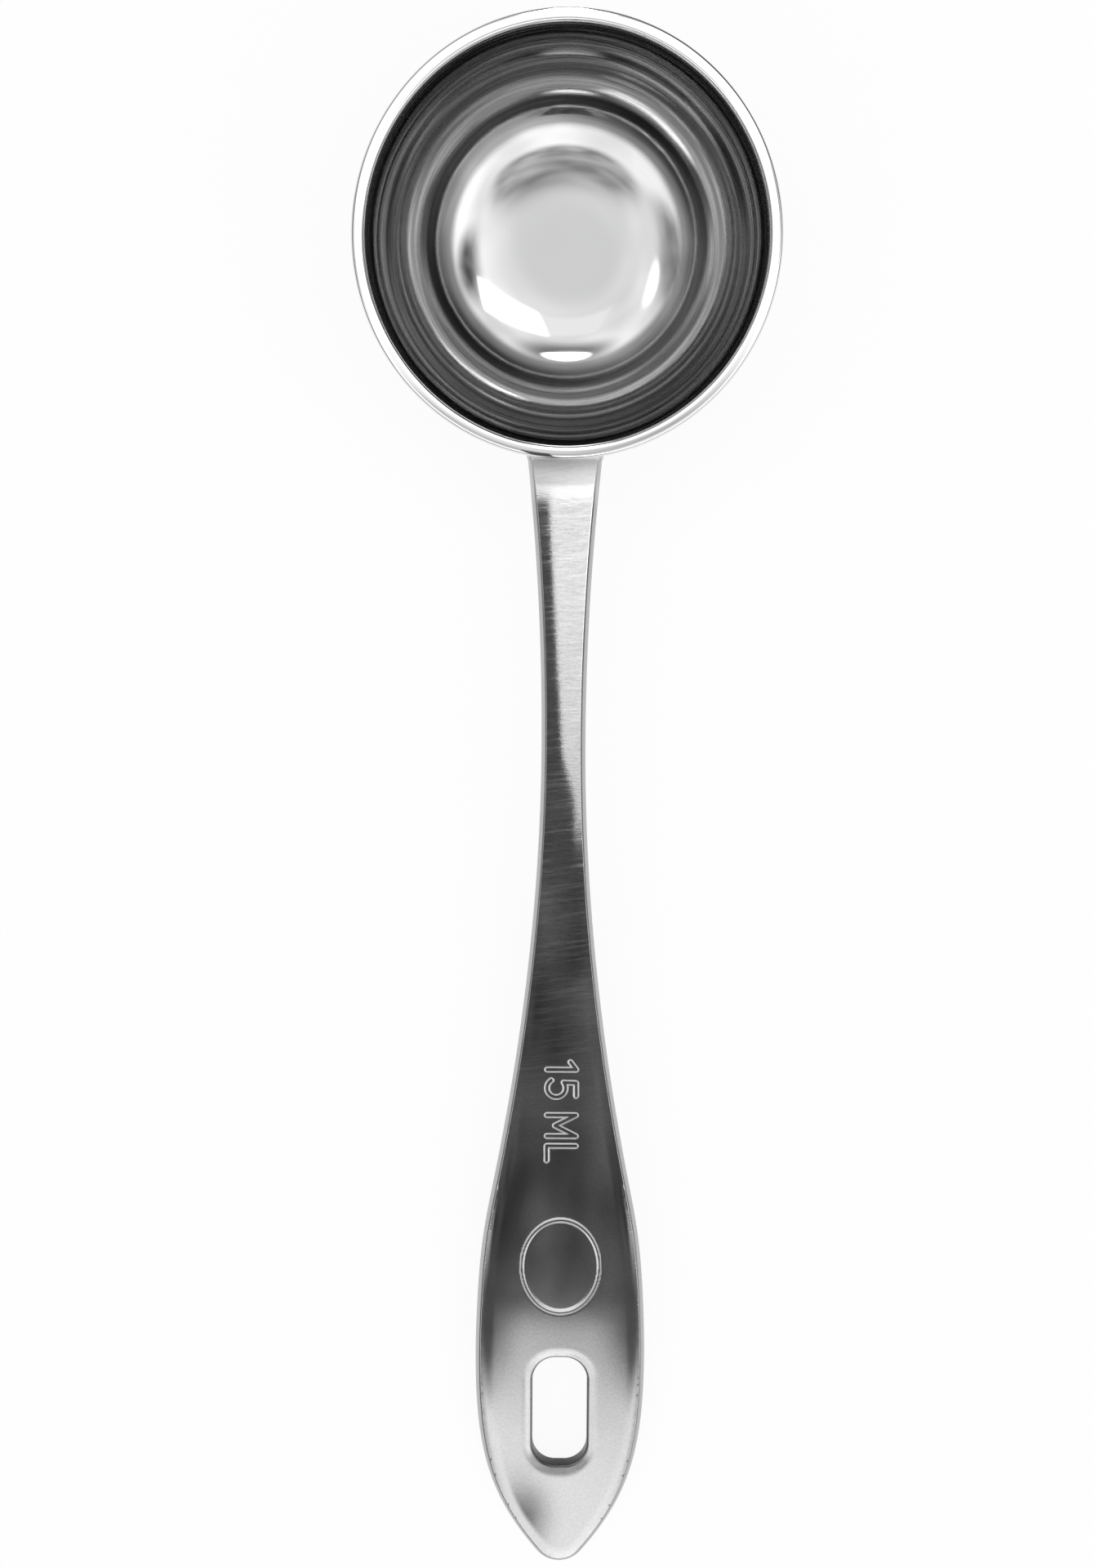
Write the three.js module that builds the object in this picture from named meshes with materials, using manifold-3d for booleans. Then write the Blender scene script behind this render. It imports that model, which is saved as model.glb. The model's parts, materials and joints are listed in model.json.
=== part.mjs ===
// A one-tablespoon measuring scoop of polished stainless steel: a deep-drawn bowl with a rounded lip,
// a flat arched handle with a hanging slot, and the weld that joins them. Millimetres, +Z up.
import * as THREE from 'three';
import { mergeVertices } from 'three/addons/utils/BufferGeometryUtils.js';
import Module from 'manifold-3d';

// Bowl: inside radius and depth, sheet thickness, the round corner above the flat base, and the lip
const BOWL_RADIUS = 18.5;
const BOWL_DEPTH = 17.0;
const SHEET = 1.0;
const CORNER_RADIUS = 13.0;
const LIP_WIDTH = 1.25;
const LIP_HEIGHT = 1.5;

// Handle: lengths from the root outwards, full widths at their ends, and the blunt point
const NECK_LENGTH = 28;
const TAPER_LENGTH = 46.3;
const SHOULDER_LENGTH = 12.1;
const OGIVE_LENGTH = 20.6;
const ROOT_WIDTH = 7.3;
const NECK_WIDTH = 4.2;
const SHOULDER_WIDTH = 14.8;
const PADDLE_WIDTH = 16.2;
const TIP_RADIUS = 2.8;
const TIP_FLANK = THREE.MathUtils.degToRad(40.5);

// Handle: section, arch, and how it leaves the bowl
const THICKNESS = 2.0;
const EDGE_RADIUS = 0.65;
const ROOT_RISE = THREE.MathUtils.degToRad(17.5);
const ARCH_RADIUS = 770;
const ROOT_BELOW_RIM = 3.4;

// Hanging slot: a rounded rectangle with eased edges
const SLOT_WIDTH = 5.24;
const SLOT_LENGTH = 10.6;
const SLOT_CORNER = 2.2;
const SLOT_EDGE = 0.65;
const SLOT_TO_TIP = 15;

// Weld: radius of the hollow fillet, thickness of its outer end, and clearance to the pieces it joins
const WELD_RADIUS = 0.9;
const WELD_END = 0.3;
const CLEARANCE = 0.15;

// Facets
const LATHE_STEPS = 96;
const CORNER_STEPS = 9;
const LIP_STEPS = 4;
const OUTLINE_STEPS = 10;
const ROUND_STEPS = 8;
const EDGE_STEPS = 4;
const WELD_STEPS = 6;

const wasm = await Module();
wasm.setup();

// A closed mesh with only positions, its seams joined and its collapsed triangles dropped
function weldSeams(geometry) {
  const bare = new THREE.BufferGeometry();
  bare.setAttribute('position', geometry.attributes.position.clone());
  if (geometry.index) bare.setIndex(geometry.index);
  const merged = mergeVertices(bare, 1e-4);
  const corners = merged.index.array;
  const kept = [];
  for (let i = 0; i < corners.length; i += 3) {
    const [a, b, c] = [corners[i], corners[i + 1], corners[i + 2]];
    if (a !== b && b !== c && c !== a) kept.push(a, b, c);
  }
  merged.setIndex(kept);
  return merged;
}

function toSolid(geometry) {
  const merged = weldSeams(geometry);
  const vertProperties = new Float32Array(merged.attributes.position.array);
  const triVerts = new Uint32Array(merged.index.array);
  return new wasm.Manifold(new wasm.Mesh({ numProp: 3, vertProperties, triVerts }));
}

function toGeometry(solid) {
  const mesh = solid.getMesh();
  const geometry = new THREE.BufferGeometry();
  geometry.setAttribute('position', new THREE.BufferAttribute(new Float32Array(mesh.vertProperties), 3));
  geometry.setIndex(new THREE.BufferAttribute(new Uint32Array(mesh.triVerts), 1));
  geometry.computeVertexNormals();
  return geometry;
}

// Bowl frame: the bowl's axis is Z and its outer base lies at z = 0.
// The corner takes no more than the bowl's radius and depth leave it.
const innerCorner = Math.min(CORNER_RADIUS, BOWL_RADIUS, BOWL_DEPTH - LIP_HEIGHT);
const outerCorner = innerCorner + SHEET;
const baseRadius = BOWL_RADIUS - innerCorner;
const wallRadius = BOWL_RADIUS + SHEET;
const lipRadius = BOWL_RADIUS + LIP_WIDTH;
const rimHeight = BOWL_DEPTH + SHEET;
const lipFoot = rimHeight - LIP_HEIGHT;

function latheAboutZ(profile) {
  return new THREE.LatheGeometry(profile, LATHE_STEPS).rotateX(Math.PI / 2);
}

// Quarter arc of the bowl's corner, from the base up to the wall
function cornerArc(radius) {
  const arc = new THREE.EllipseCurve(baseRadius, outerCorner, radius, radius, -Math.PI / 2, 0);
  return arc.getPoints(CORNER_STEPS);
}

function bowlGeometry() {
  const bead = LIP_WIDTH / 2;
  const lip = new THREE.Path();
  lip.moveTo(wallRadius, lipFoot);
  lip.quadraticCurveTo(lipRadius, lipFoot, lipRadius, rimHeight - bead);
  lip.absarc(BOWL_RADIUS + bead, rimHeight - bead, bead, 0, Math.PI, false);
  const profile = [
    new THREE.Vector2(0, 0),
    ...cornerArc(outerCorner),
    ...lip.getPoints(LIP_STEPS),
    ...cornerArc(innerCorner).reverse(),
    new THREE.Vector2(0, SHEET),
  ];
  return latheAboutZ(profile);
}

// The bowl's outside as a full plug, grown by a clearance, for cutting what meets its wall
function bowlPlug(clearance) {
  const profile = [
    new THREE.Vector2(0, -clearance),
    ...cornerArc(outerCorner + clearance),
    new THREE.Vector2(wallRadius + clearance, lipFoot - clearance),
    new THREE.Vector2(lipRadius + clearance, lipFoot - clearance),
    new THREE.Vector2(lipRadius + clearance, rimHeight + clearance),
    new THREE.Vector2(0, rimHeight + clearance),
  ];
  return toSolid(latheAboutZ(profile));
}

// Handle coordinates: s along the arched spine from the bowl's wall, x across, h up from mid-thickness
const handleLength = NECK_LENGTH + TAPER_LENGTH + SHOULDER_LENGTH + OGIVE_LENGTH;
const rootHeight = rimHeight - ROOT_BELOW_RIM - THICKNESS / 2;

function onSpine(s, x, h) {
  const slope = ROOT_RISE - s / ARCH_RADIUS;
  const y = -wallRadius - ARCH_RADIUS * (Math.sin(ROOT_RISE) - Math.sin(slope));
  const z = rootHeight + ARCH_RADIUS * (Math.cos(slope) - Math.cos(ROOT_RISE));
  return new THREE.Vector3(x, y + h * Math.sin(slope), z + h * Math.cos(slope));
}

// Half of the handle's outline from root to tip, as (s, half width)
function halfOutline() {
  const neckAt = NECK_LENGTH;
  const shoulderAt = neckAt + TAPER_LENGTH;
  const widestAt = shoulderAt + SHOULDER_LENGTH;
  const centre = handleLength - TIP_RADIUS;
  const arcStart = Math.PI / 2 - TIP_FLANK;
  const flankS = centre + TIP_RADIUS * Math.cos(arcStart);
  const flankX = TIP_RADIUS * Math.sin(arcStart);
  const ease = 0.27 * OGIVE_LENGTH;
  const path = new THREE.Path();
  path.moveTo(0, ROOT_WIDTH / 2);
  path.quadraticCurveTo(NECK_LENGTH / 2, NECK_WIDTH / 2, neckAt, NECK_WIDTH / 2);
  path.quadraticCurveTo(neckAt + 0.48 * TAPER_LENGTH, NECK_WIDTH / 2, shoulderAt, SHOULDER_WIDTH / 2);
  path.quadraticCurveTo(shoulderAt + SHOULDER_LENGTH / 2, PADDLE_WIDTH / 2, widestAt, PADDLE_WIDTH / 2);
  path.bezierCurveTo(
    widestAt + 0.45 * OGIVE_LENGTH, PADDLE_WIDTH / 2,
    flankS - ease, flankX + ease * Math.tan(TIP_FLANK),
    flankS, flankX,
  );
  path.absarc(centre, 0, TIP_RADIUS, arcStart, 0, true);
  const points = path.getPoints(OUTLINE_STEPS);
  return points.filter((p, i) => i === 0 || p.distanceTo(points[i - 1]) > 1e-6);
}

// The half outline moved inwards by an amount, square to its own edge
function insetOutline(half, amount) {
  return half.map((point, i) => {
    const before = half[Math.max(i - 1, 0)];
    const after = half[Math.min(i + 1, half.length - 1)];
    const atTip = i === half.length - 1;
    const along = atTip ? new THREE.Vector2(0, -1) : after.clone().sub(before).normalize();
    return new THREE.Vector2(point.x + along.y * amount, point.y - along.x * amount);
  });
}

// Heights and insets of the rings that round an edge over, from the lower face to the upper one
function edgeRings(halfHeight, radius) {
  const rings = [];
  for (let k = 0; k <= EDGE_STEPS; k += 1) {
    const turn = (k / EDGE_STEPS) * (Math.PI / 2);
    rings.push({ inset: radius * (1 - Math.sin(turn)), h: -halfHeight + radius * (1 - Math.cos(turn)) });
  }
  return [...rings, ...rings.map(({ inset, h }) => ({ inset, h: -h })).reverse()];
}

// A closed skin over stacked rings of equal point count, with the first and last ring capped
function skin(rings, cap) {
  const count = rings[0].length;
  const positions = rings.flat().flatMap((p) => [p.x, p.y, p.z]);
  const index = [];
  for (let r = 0; r + 1 < rings.length; r += 1) {
    for (let i = 0; i < count; i += 1) {
      const a = r * count + i;
      const b = r * count + ((i + 1) % count);
      index.push(a, b, b + count, a, b + count, a + count);
    }
  }
  const top = (rings.length - 1) * count;
  for (const [i, j, k] of cap) {
    index.push(i, k, j, top + i, top + j, top + k);
  }
  const geometry = new THREE.BufferGeometry();
  geometry.setAttribute('position', new THREE.Float32BufferAttribute(positions, 3));
  geometry.setIndex(index);
  return geometry;
}

// Cap triangles for a ring that runs out along one side and back along its mirror image
function ladderCap(count) {
  const triangles = [];
  for (let i = 0, j = count - 1; i + 1 < j; i += 1, j -= 1) {
    triangles.push([i, i + 1, j]);
    if (i + 1 < j - 1) triangles.push([i + 1, j - 1, j]);
  }
  return triangles;
}

// The handle's blank: rounded all along its edge, and running into the bowl's wall at the root
function handleBlank(grow) {
  const half = [new THREE.Vector2(-2 * SHEET, ROOT_WIDTH / 2), ...halfOutline()];
  const rings = edgeRings(THICKNESS / 2 + grow, EDGE_RADIUS + grow).map(({ inset, h }) => {
    const side = insetOutline(half, inset - grow);
    side[side.length - 1].y = 0;
    const left = side.map((p) => onSpine(p.x, -p.y, h));
    const right = side.slice(0, -1).reverse().map((p) => onSpine(p.x, p.y, h));
    return [...left, ...right];
  });
  return toSolid(skin(rings, ladderCap(rings[0].length)));
}

// Points of a rounded rectangle, anticlockwise, from the reach of its corner centres
function roundedRectangle(reachU, reachV, radius) {
  const points = [];
  for (let quarter = 0; quarter < 4; quarter += 1) {
    const u = quarter === 0 || quarter === 3 ? reachU : -reachU;
    const v = quarter < 2 ? reachV : -reachV;
    for (let k = 0; k <= ROUND_STEPS; k += 1) {
      const angle = ((quarter + k / ROUND_STEPS) * Math.PI) / 2;
      points.push(new THREE.Vector2(u + radius * Math.cos(angle), v + radius * Math.sin(angle)));
    }
  }
  return points;
}

function fanCap(count) {
  return Array.from({ length: count - 2 }, (_, i) => [0, i + 1, i + 2]);
}

// Slot cutter: straight through the middle and flared at both faces, which leaves eased edges
function slotCutter() {
  const centre = handleLength - SLOT_TO_TIP;
  const corner = Math.min(SLOT_CORNER, SLOT_WIDTH / 2);
  const face = THICKNESS / 2;
  const rings = edgeRings(face, SLOT_EDGE);
  rings.unshift({ inset: SLOT_EDGE, h: -face - SLOT_EDGE });
  rings.push({ inset: SLOT_EDGE, h: face + SLOT_EDGE });
  const outlines = rings.map(({ inset, h }) => {
    const points = roundedRectangle(SLOT_LENGTH / 2 - corner, SLOT_WIDTH / 2 - corner, corner + inset);
    return points.map((p) => onSpine(centre + p.x, p.y, h));
  });
  return toSolid(skin(outlines, fanCap(outlines[0].length)));
}

// Weld bead: sections that follow the bowl's round wall and flare towards it in a hollow fillet
function weldBlank() {
  const rings = [];
  for (let k = -1; k <= WELD_STEPS; k += 1) {
    const turn = (Math.max(k, 0) / WELD_STEPS) * (Math.PI / 2);
    const off = k < 0 ? -SHEET : WELD_RADIUS * (1 - Math.cos(turn));
    const grow = WELD_END + WELD_RADIUS * (1 - Math.sin(turn));
    const reachX = ROOT_WIDTH / 2 - EDGE_RADIUS;
    const reachH = THICKNESS / 2 - EDGE_RADIUS;
    const section = roundedRectangle(reachX, reachH, EDGE_RADIUS + grow);
    rings.push(section.map((p) => {
      const hollow = wallRadius - Math.sqrt(wallRadius ** 2 - p.x ** 2);
      const atWall = (p.y * Math.sin(ROOT_RISE) - hollow) / Math.cos(ROOT_RISE);
      return onSpine(atWall + off, p.x, p.y);
    }));
  }
  return toSolid(skin(rings, fanCap(rings[0].length)));
}

const plug = bowlPlug(CLEARANCE);
const handleSolid = handleBlank(0).subtract(slotCutter()).subtract(plug);
const weldSolid = weldBlank().subtract(plug).subtract(handleBlank(CLEARANCE));

function piece(name, geometry, roughness) {
  const material = new THREE.MeshStandardMaterial({ color: 0xc9cbcc, metalness: 1, roughness });
  const mesh = new THREE.Mesh(geometry, material);
  mesh.name = name;
  return mesh;
}

const bowl = piece('bowl', bowlGeometry(), 0.12);
const handle = piece('handle', toGeometry(handleSolid), 0.22);
const weld = piece('weld_fillet', toGeometry(weldSolid), 0.3);

// Lowest height of a piece when the scoop is tilted towards its handle
function lowest(mesh, tilt) {
  const points = mesh.geometry.attributes.position;
  let low = Infinity;
  for (let i = 0; i < points.count; i += 1) {
    low = Math.min(low, points.getY(i) * Math.sin(tilt) + points.getZ(i) * Math.cos(tilt));
  }
  return low;
}

// The handle outweighs the bowl's small base, so the scoop rests on the bowl's corner and the handle's tip
let level = 0;
let steep = Math.PI / 4;
for (let i = 0; i < 50; i += 1) {
  const middle = (level + steep) / 2;
  if (lowest(handle, middle) > lowest(bowl, middle)) {
    level = middle;
  } else {
    steep = middle;
  }
}

const tilted = new THREE.Group();
tilted.add(bowl, handle, weld);
tilted.rotation.x = steep;
const box = new THREE.Box3().setFromObject(tilted, true);
tilted.position.set(-(box.min.x + box.max.x) / 2, -(box.min.y + box.max.y) / 2, -box.min.z);

const scoop = new THREE.Group();
scoop.add(tilted);

export default scoop;
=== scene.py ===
"""Looks of a polished steel measuring scoop: bowl, slotted handle and weld, on a white table."""

import json
import math

import bmesh
import bpy
import numpy as np
from mathutils import Matrix, Vector, kdtree


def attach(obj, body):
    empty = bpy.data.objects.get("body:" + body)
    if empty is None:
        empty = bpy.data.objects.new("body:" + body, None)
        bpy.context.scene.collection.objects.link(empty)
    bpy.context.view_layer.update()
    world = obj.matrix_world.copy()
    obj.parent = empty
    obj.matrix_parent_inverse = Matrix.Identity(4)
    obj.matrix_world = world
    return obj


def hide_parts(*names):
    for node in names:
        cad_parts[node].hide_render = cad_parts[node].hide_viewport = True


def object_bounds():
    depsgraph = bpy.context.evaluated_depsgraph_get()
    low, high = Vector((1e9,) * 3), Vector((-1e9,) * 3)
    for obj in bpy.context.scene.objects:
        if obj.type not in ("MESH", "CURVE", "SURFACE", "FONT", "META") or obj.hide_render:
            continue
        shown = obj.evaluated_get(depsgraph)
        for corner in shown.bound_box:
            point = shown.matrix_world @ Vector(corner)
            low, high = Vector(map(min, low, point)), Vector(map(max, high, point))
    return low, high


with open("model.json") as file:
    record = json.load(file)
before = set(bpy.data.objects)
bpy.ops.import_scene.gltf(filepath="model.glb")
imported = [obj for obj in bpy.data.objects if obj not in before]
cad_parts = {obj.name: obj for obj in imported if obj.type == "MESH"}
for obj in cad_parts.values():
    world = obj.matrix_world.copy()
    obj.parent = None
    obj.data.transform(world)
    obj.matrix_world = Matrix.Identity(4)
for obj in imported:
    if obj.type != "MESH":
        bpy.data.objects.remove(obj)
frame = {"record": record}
cad_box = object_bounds()

MM = 0.001

# Bowl sizes in millimetres
BOWL_RADIUS = 18.5
BOWL_DEPTH = 17.0
SHEET = 1.0
CORNER = 13.0
LIP_WIDTH = 1.25
LIP_HEIGHT = 1.5
LIP_FOOT = 0.3
LIP_SQUARENESS = 3.2
WALL_RADIUS = BOWL_RADIUS + SHEET
RIM_HEIGHT = BOWL_DEPTH + SHEET

# The bowl's inner corner bends more and more between these two places, measured along the face from the axis
BEND_STARTS = 1.0
BEND_FULL = 9.5
BEND_RANGE = (0.02, 0.2)
FACE_REACH = 40
FACE_POINTS = 8001
BEND_HALVINGS = 50

# Handle sizes in millimetres
NECK_LENGTH = 28.0
TAPER_LENGTH = 46.3
SHOULDER_LENGTH = 12.1
OGIVE_LENGTH = 20.6
ROOT_WIDTH = 7.3
NECK_WIDTH = 4.2
SHOULDER_WIDTH = 14.8
PADDLE_WIDTH = 16.2
TIP_RADIUS = 2.8
TIP_FLANK = math.radians(40.5)
HANDLE_LENGTH = NECK_LENGTH + TAPER_LENGTH + SHOULDER_LENGTH + OGIVE_LENGTH
THICKNESS = 2.0
EDGE_RADIUS = 0.65
EDGE_WIDTH = 0.5
EDGE_HEIGHT = 0.74
EDGE_SHAPE = 1.4
ROLL_WIDTH = 1.25
ROLL_DROP = 0.11
ROLL_GROWS = (38, 78)
ROOT_RISE = math.radians(17.5)
ROOT_BELOW_RIM = 3.4
ROOT_REACH = 4
ROOT_HALF_WIDTH_MOST = 6
ARCH_RADIUS = 770.0
ROOT_HEIGHT = RIM_HEIGHT - ROOT_BELOW_RIM - THICKNESS / 2

# Shares of their lengths at which the outline's curves have their control points
TAPER_PULL = 0.48
OGIVE_PULL = 0.45
FLANK_PULL = 0.27

# Easing of the outline's corner at the shoulder: width, step and window, and where it comes in and goes out
SHOULDER_EASE = 2.2
EASE_STEP = 0.05
EASE_WINDOW = (50, 98)
EASE_STEPS = 140
EASE_IN = (58, 65)
EASE_OUT = (81, 87)

# Hanging slot and weld in millimetres. The slot's upper edge is pressed in more than its lower one
SLOT_WIDTH = 5.24
SLOT_LENGTH = 10.6
SLOT_CORNER = 2.2
SLOT_EDGE = 0.28
SLOT_SHAPE = 1.8
SLOT_ROLL = 0.75
SLOT_DROP = 0.11
SLOT_DROP_BELOW = 0.05
SLOT_ROUND = 0.26
SLOT_ROUND_BELOW = 0.12
SLOT_FROM_TIP = 15.0
SLOT_MARGIN = 2.6
SLOT_AT = HANDLE_LENGTH - SLOT_FROM_TIP
SLOT_JOIN = SLOT_AT - SLOT_LENGTH / 2 - SLOT_EDGE - SLOT_MARGIN
# Heights on the slot's wall below which it is painted dark: painted shade
SLOT_WALL_SHADE = (0.66, 0.80)
RAY_REACH = 12.0
RAY_HALVINGS = 40
WELD_RADIUS = 0.9
WELD_SINK = 0.02

# Stamped marks in millimetres: the capacity in strokes, and a plain oval
MARK_AT = 57.9
MARK_HEIGHT = 3.4
MARK_SPAN = (MARK_AT - 1, MARK_AT + 11)
MARK_HALF_WIDTH = 3
STROKE = 0.62
MARK_DEPTH = 0.09
BEVEL = 0.2
OVAL_AT = 77.8
OVAL_STARTS = OVAL_AT - 5.2
OVAL_HALF = (4.45, 3.7)
OVAL_LINE = 0.5
FAR_AWAY = 9.0

# Fineness of the meshes
ROUND_POINTS = 288
CORNER_STEPS = 110
OUTER_STEPS = 44
LIP_FOOT_STEPS = 12
LIP_STEPS = 36
WALL_POINTS = 12
CURVE_STEPS = 400
SHOULDER_STEPS = 200
TIP_STEPS = 120
TIP_POINTS = 150
ACROSS_POINTS = 129
EDGE_STEPS = 10
SLOT_RINGS = 25
WELD_CORNER_POINTS = 13
WELD_RINGS = 15
MERGE_DISTANCE = 2e-7
TINY_DISTANCE = 1e-8

# Finishes: places in metres in the bowl's frame, noise per metre
NOISE_RANGE = (0.3, 0.7)
RELIEF_DEPTH = 0.00002
CLOUD_SCALE = 240.0
RING_SCALE = 900.0
RING_TWIST = 0.0004
STROKE_SCALE = 6000.0
SCUFF_SCALE = 3000.0
SCUFF_SLANT = 0.14
GRAIN_SCALE = 5200.0
WELD_SCALE = 2600.0
WALL_STARTS = (0.010, 0.0145)
# Heights over which the inner wall's painted shade grows
WALL_SHADE_GROWS = (0.0045, 0.0095)
SCRATCHES_START = (0.007, 0.011)
# Heights where the rim's painted highlight comes in
RIM_HIGHLIGHT_STARTS = (0.0166, 0.0174)
NECK_STARTS = (-0.090, -0.060)
# Places where the root's ground zone, rougher and painted paler as light, comes in
GROUND_AND_PAINTED_LIGHT_STARTS = (-0.0248, -0.0205)
FACE_LEVEL = (0.93, 0.985)
EDGE_LEVEL = (0.90, 0.985)
COOL_TINT = 1.005

# Camera fitted to the photograph's framing, in metres and degrees
CAMERA_AT = (-0.00122, -0.00836, 0.17499)
CAMERA_TURN = (3.8, 0.076, 0.342)
CAMERA_LENS = 40.12
CAMERA_SENSOR = 36.0
CAMERA_CLIP = 0.005

# Table and dome. The stops give the dome's grey by the cosine of the angle from the bowl's axis
FLOOR_HALF = 20
FLOOR_COLOUR = (0.9, 0.9, 0.9, 1)
FLOOR_WHITE = {"Is Camera Ray": 0.92, "Is Glossy Ray": 0.4, "Is Transmission Ray": 0.92}
DOME_STOPS = [(0.0, 0.05), (0.25, 0.05), (0.45, 0.045), (0.58, 0.25), (0.68, 1.0), (0.88, 1.0), (0.98, 0.9)]
DOME_CORNERS = (0.707, -0.707, 0)
DOME_CORNER_GREY = 0.3
DOME_CLOUD = {"Scale": 2.6, "Detail": 1.0}
DOME_LEVEL = {"From Min": 0.35, "From Max": 0.65, "To Min": 1.25, "To Max": 1.65}
CARD_CLOUD = {"Scale": 5.0, "Detail": 1.0}
NECK_SHADE = [
    (-4.5, 31.6, 17), (-4.5, -8, 17), (1.2, -8, 17), (1.2, 0.9, 17), (-0.05, 5.3, 17), (-1.55, 31.6, 17),
]

# The bowl's frame in the row: its axis is Z and its base lies at z = 0. The mount is the middle of one facet
BASE_FACETS = 96
FACET_REACH = 0.0036667
mount = frame["record"]["mounts"][0]
tilt = math.atan2(mount["axis"][1], -mount["axis"][2])
turn = Matrix.Rotation(tilt, 4, "X")
facet = math.radians(360 / BASE_FACETS / 2)
beside_axis = Vector((math.cos(facet), math.sin(facet), 0)) * FACET_REACH
base_centre = Vector(mount["pos_m"]) - turn @ beside_axis


def smoothstep(low, high, value):
    t = np.clip((value - low) / (high - low), 0, 1)
    return t * t * (3 - 2 * t)


class Skin:
    """Grids of points in millimetres that are joined into one mesh, with a mark that the material reads."""

    def __init__(self):
        self.points = []
        self.faces = []
        self.marks = []

    def grid(self, points, flip=False, wrap=False, mark=0.0):
        rows, columns = points.shape[:2]
        start = sum(len(p) for p in self.points)
        self.points.append(points.reshape(-1, 3))
        self.marks.append(np.broadcast_to(mark, (rows, columns)).ravel())
        index = start + np.arange(rows * columns).reshape(rows, columns)
        if wrap:
            index = np.hstack([index, index[:, :1]])
        corners = [index[:-1, :-1], index[1:, :-1], index[1:, 1:], index[:-1, 1:]]
        quads = np.stack(corners, -1).reshape(-1, 4)
        self.faces.extend((quads[:, ::-1] if flip else quads).tolist())

    def build(self, name):
        mesh = bpy.data.meshes.new(name)
        placed = np.vstack(self.points) * MM @ np.array(turn.to_3x3()).T + np.array(base_centre)
        mesh.from_pydata(np.clip(placed, *cad_box).tolist(), [], self.faces)
        mesh.attributes.new("mark", "FLOAT", "POINT").data.foreach_set("value", np.hstack(self.marks))
        work = bmesh.new()
        work.from_mesh(mesh)
        bmesh.ops.remove_doubles(work, verts=work.verts, dist=MERGE_DISTANCE)
        bmesh.ops.dissolve_degenerate(work, edges=work.edges, dist=TINY_DISTANCE)
        bmesh.ops.recalc_face_normals(work, faces=work.faces)
        work.to_mesh(mesh)
        work.free()
        mesh.polygons.foreach_set("use_smooth", [True] * len(mesh.polygons))
        piece = bpy.data.objects.new(name, mesh)
        bpy.context.scene.collection.objects.link(piece)
        return piece


def arc(centre, radius, start, end, steps):
    angle = np.radians(np.linspace(start, end, steps + 1))
    return np.c_[centre[0] + radius * np.cos(angle), centre[1] + radius * np.sin(angle)]


def squared_arc(centre, radius, steps):
    """A half circle over the top with a flattened crown."""
    angle = np.linspace(0, math.pi, steps + 1)
    bend = np.c_[np.cos(angle), np.sin(angle)]
    return centre + radius * np.sign(bend) * np.abs(bend) ** (2 / LIP_SQUARENESS)


def bezier(points, steps):
    t = np.linspace(0, 1, steps + 1)[:, None]
    points = [np.array(p, float) for p in points]
    while len(points) > 1:
        points = [a * (1 - t) + b * t for a, b in zip(points, points[1:])]
    return points[0]


def eased_corner():
    """The inner face from the axis to the wall: the bend grows smoothly from the middle of the base."""
    length = np.linspace(0, FACE_REACH, FACE_POINTS)
    step = length[1] - length[0]
    bend = smoothstep(BEND_STARTS, BEND_FULL, length)
    low, high = BEND_RANGE
    for _ in range(BEND_HALVINGS):
        middle = (low + high) / 2
        slope = np.cumsum(middle * bend) * step
        end = np.searchsorted(slope, math.pi / 2)
        radius = np.cumsum(np.cos(slope[:end])) * step
        low, high = (middle, high) if radius[-1] > BOWL_RADIUS else (low, middle)
    height = SHEET + np.cumsum(np.sin(slope[:end])) * step
    pick = np.linspace(0, end - 1, CORNER_STEPS + 1).astype(int)
    path = np.c_[radius, height][pick]
    path[0, 0] = 0
    path[-1, 0] = BOWL_RADIUS
    return path


def make_bowl():
    base = BOWL_RADIUS - CORNER
    middle = (base, CORNER + SHEET)
    corner = eased_corner()[::-1]
    bead = LIP_WIDTH / 2
    lip = BOWL_RADIUS + LIP_WIDTH
    foot = RIM_HEIGHT - LIP_HEIGHT
    crown = RIM_HEIGHT - bead
    flat = np.array([0.0, 0.3, 0.6, 0.85, 0.95]) * base
    wall = np.linspace(corner[0, 1], crown, WALL_POINTS)[1:-1]
    under_lip = [(WALL_RADIUS, foot - LIP_FOOT), (WALL_RADIUS, foot), (lip, foot), (lip, crown)]
    outside = np.vstack([
        np.c_[flat, 0 * flat],
        arc(middle, CORNER + SHEET, -90, 0, OUTER_STEPS),
        bezier(under_lip, LIP_FOOT_STEPS),
    ])
    inside = np.vstack([
        squared_arc((BOWL_RADIUS + bead, crown), bead, LIP_STEPS)[1:],
        np.c_[0 * wall + BOWL_RADIUS, wall][::-1],
        corner,
    ])
    profile = np.vstack([outside, inside])
    angle = np.linspace(0, 2 * math.pi, ROUND_POINTS, endpoint=False)
    points = np.stack([
        profile[:, :1] * np.cos(angle),
        profile[:, :1] * np.sin(angle),
        np.repeat(profile[:, 1:], len(angle), axis=1),
    ], -1)
    within = np.arange(len(profile)) >= len(outside) + LIP_STEPS
    skin = Skin()
    skin.grid(points, flip=True, wrap=True, mark=within[:, None])
    return skin.build("bowl_shell")


def to_wall(x, h):
    """How far along the handle the bowl's round wall lies from the root's middle."""
    hollow = WALL_RADIUS - np.sqrt(WALL_RADIUS**2 - x**2)
    return (h * math.sin(ROOT_RISE) - hollow) / math.cos(ROOT_RISE)


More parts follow.
